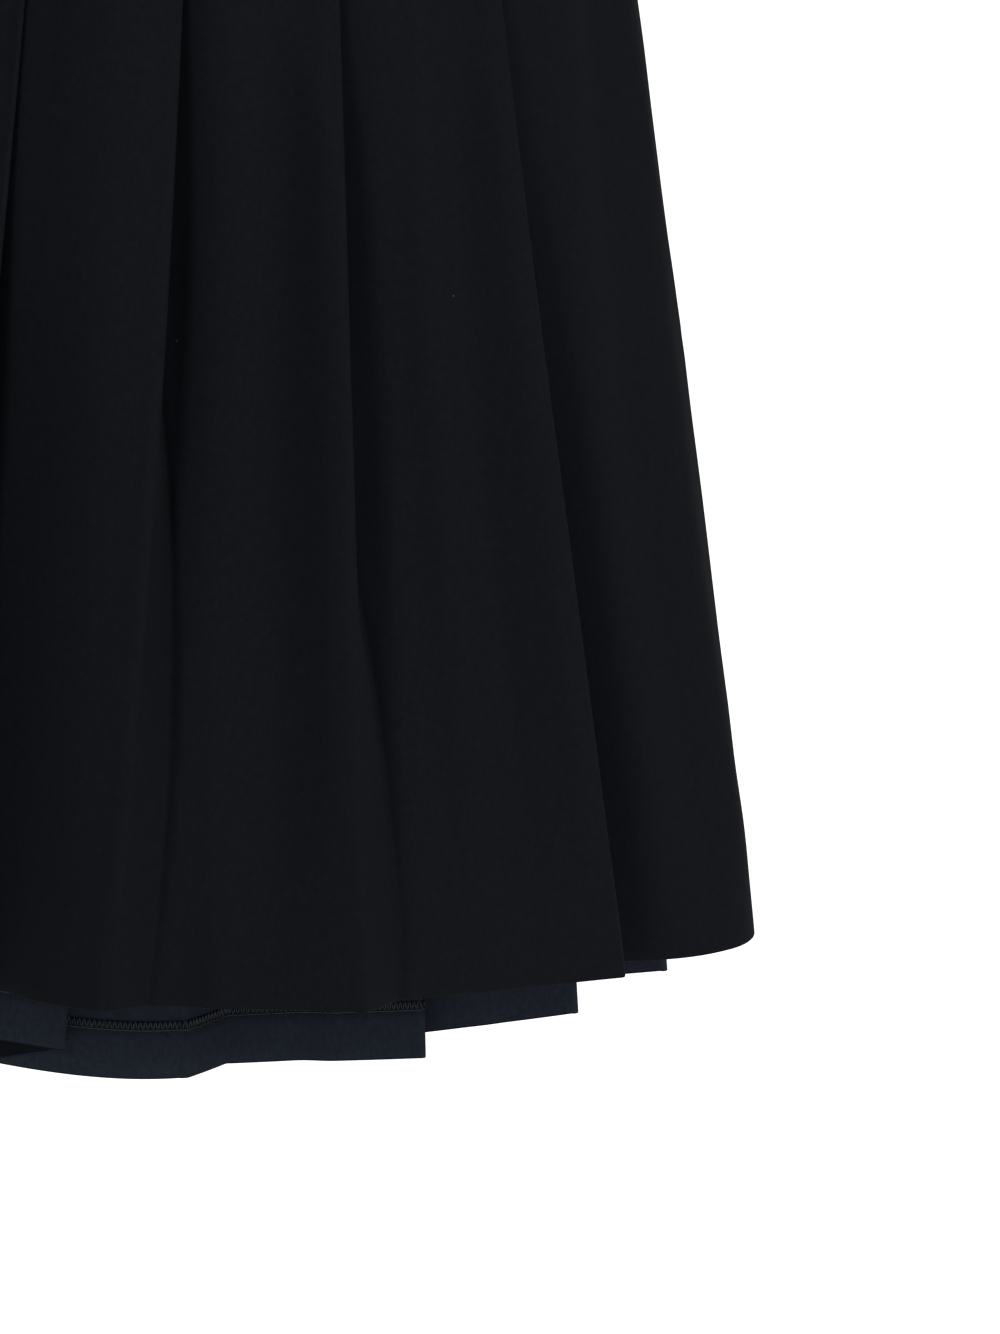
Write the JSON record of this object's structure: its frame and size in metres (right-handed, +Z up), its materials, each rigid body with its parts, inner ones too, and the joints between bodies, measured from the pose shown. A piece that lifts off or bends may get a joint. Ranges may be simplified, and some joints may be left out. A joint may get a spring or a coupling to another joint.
{
  "type": "pleated midi skirt",
  "caption": "Pleated A-line midi skirt with knife pleats all turned one way, a plain waistband, a concealed side zip and a hem that dips behind.",
  "frame": {"origin": "centre of the waistband's top edge, where a waist holds the skirt", "axes": "+Z up, -Y towards the front, +X towards the wearer's left side, where the zip is"},
  "size_m": [0.5112, 0.3392, 0.852],
  "materials": {
    "navy_wool": "matt, smooth wool-blend suiting, very dark navy",
    "navy_tape": "matt woven zip tape, dark navy",
    "dark_zinc": "dark enamelled die-cast zinc, semi-gloss",
    "nickel_steel": "nickel-plated pressed steel"
  },
  "bodies": {
    "skirt": {"front_panel": "navy_wool", "back_panel": "navy_wool", "waistband": "navy_wool", "zip_tape_front": "navy_tape", "zip_tape_back": "navy_tape", "zip_slider": "dark_zinc", "waist_hook": "nickel_steel", "waist_bar": "nickel_steel"},
    "pull": {"zip_pull": "dark_zinc"}
  },
  "joints": [
    {"name": "zip_pull_hinge", "type": "hinge", "parent": "skirt", "child": "pull", "pos_m": [0.13735, 0.00535, -0.04198], "axis": [-0.0734, -0.9973, 0], "range_deg": [0, 120]}
  ]
}
